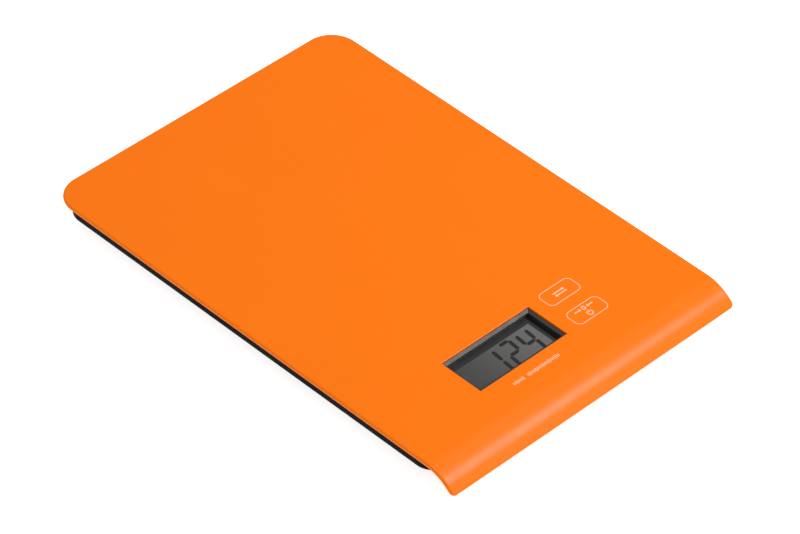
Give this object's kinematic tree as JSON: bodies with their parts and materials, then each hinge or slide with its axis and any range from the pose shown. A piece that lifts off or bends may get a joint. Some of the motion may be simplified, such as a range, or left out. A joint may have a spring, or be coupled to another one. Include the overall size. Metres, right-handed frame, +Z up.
{
  "type": "digital platform scale",
  "caption": "Slim digital platform scale: flat orange plastic platform with a down-curved front lip, recessed LCD, two flush touch keys and load-cell feet under a black base.",
  "frame": {"origin": "on the ground under the middle of the platform", "axes": "+X right seen from the front, +Y towards the back, away from the lip and display, +Z up"},
  "size_m": [0.16, 0.23, 0.014],
  "materials": {
    "orange_plastic": "satin moulded, fine grain",
    "black_plastic": "matte moulded",
    "bezel_plastic": "satin moulded",
    "lcd_glass": "polished, with a grey polariser behind it",
    "white_plastic": "moulded",
    "zebra_rubber": "matte",
    "foot_rubber": "matte",
    "circuit_board": "satin solder mask",
    "black_epoxy": "glossy",
    "ceramic_capacitor": "matte",
    "screw_steel": "zinc plated",
    "plated_steel": "nickel plated",
    "spring_brass": "plated spring metal",
    "gauge_resin": "matte",
    "grey_lead": "soft",
    "red_lead": "soft",
    "black_lead": "soft"
  },
  "bodies": {
    "scale_body": {"base_shell": "black_plastic", "battery_contact_minus": "spring_brass", "battery_contact_plus": "spring_brass", "battery_lead_minus": "black_lead", "battery_lead_plus": "red_lead", "capacitor_1": "ceramic_capacitor", "capacitor_2": "ceramic_capacitor", "case_screw_1": "screw_steel", "case_screw_2": "screw_steel", "case_screw_3": "screw_steel", "case_screw_4": "screw_steel", "case_screw_5": "screw_steel", "case_screw_6": "screw_steel", "chip_blob": "black_epoxy", "coin_cell": "plated_steel", "display_bezel": "bezel_plastic", "lcd_holder": "white_plastic", "lcd_panel": "lcd_glass", "load_cell_lead_front_left": "grey_lead", "load_cell_lead_front_right": "grey_lead", "load_cell_lead_rear_left": "grey_lead", "load_cell_lead_rear_right": "grey_lead", "main_pcb": "circuit_board", "pcb_screw_1": "screw_steel", "pcb_screw_2": "screw_steel", "pcb_screw_3": "screw_steel", "pcb_screw_4": "screw_steel", "top_cover": "orange_plastic", "touch_spring_front": "screw_steel", "touch_spring_rear": "screw_steel", "zebra_strip": "zebra_rubber"},
    "front_left_foot": {"foot_carrier_front_left": "black_plastic", "foot_pad_front_left": "foot_rubber", "load_cell_front_left": "plated_steel", "strain_gauge_front_left": "gauge_resin"},
    "front_right_foot": {"foot_carrier_front_right": "black_plastic", "foot_pad_front_right": "foot_rubber", "load_cell_front_right": "plated_steel", "strain_gauge_front_right": "gauge_resin"},
    "rear_left_foot": {"foot_carrier_rear_left": "black_plastic", "foot_pad_rear_left": "foot_rubber", "load_cell_rear_left": "plated_steel", "strain_gauge_rear_left": "gauge_resin"},
    "rear_right_foot": {"foot_carrier_rear_right": "black_plastic", "foot_pad_rear_right": "foot_rubber", "load_cell_rear_right": "plated_steel", "strain_gauge_rear_right": "gauge_resin"},
    "battery_door": {"battery_door": "black_plastic"}
  },
  "joints": [
    {"name": "foot_front_left_press", "type": "slide", "parent": "scale_body", "child": "front_left_foot", "axis": [0, 0, 1], "range_m": [0, 0.0003], "stiffness_N_per_m": 10000, "springref_m": -0.00009},
    {"name": "foot_front_right_press", "type": "slide", "parent": "scale_body", "child": "front_right_foot", "axis": [0, 0, 1], "range_m": [0, 0.0003], "stiffness_N_per_m": 10000, "springref_m": -0.00009},
    {"name": "foot_rear_left_press", "type": "slide", "parent": "scale_body", "child": "rear_left_foot", "axis": [0, 0, 1], "range_m": [0, 0.0003], "stiffness_N_per_m": 10000, "springref_m": -0.00009},
    {"name": "foot_rear_right_press", "type": "slide", "parent": "scale_body", "child": "rear_right_foot", "axis": [0, 0, 1], "range_m": [0, 0.0003], "stiffness_N_per_m": 10000, "springref_m": -0.00009},
    {"name": "battery_door_hinge", "type": "hinge", "parent": "scale_body", "child": "battery_door", "pos_m": [0, -0.01125, 0.00395], "axis": [1, 0, 0], "range_deg": [0, 100]}
  ]
}
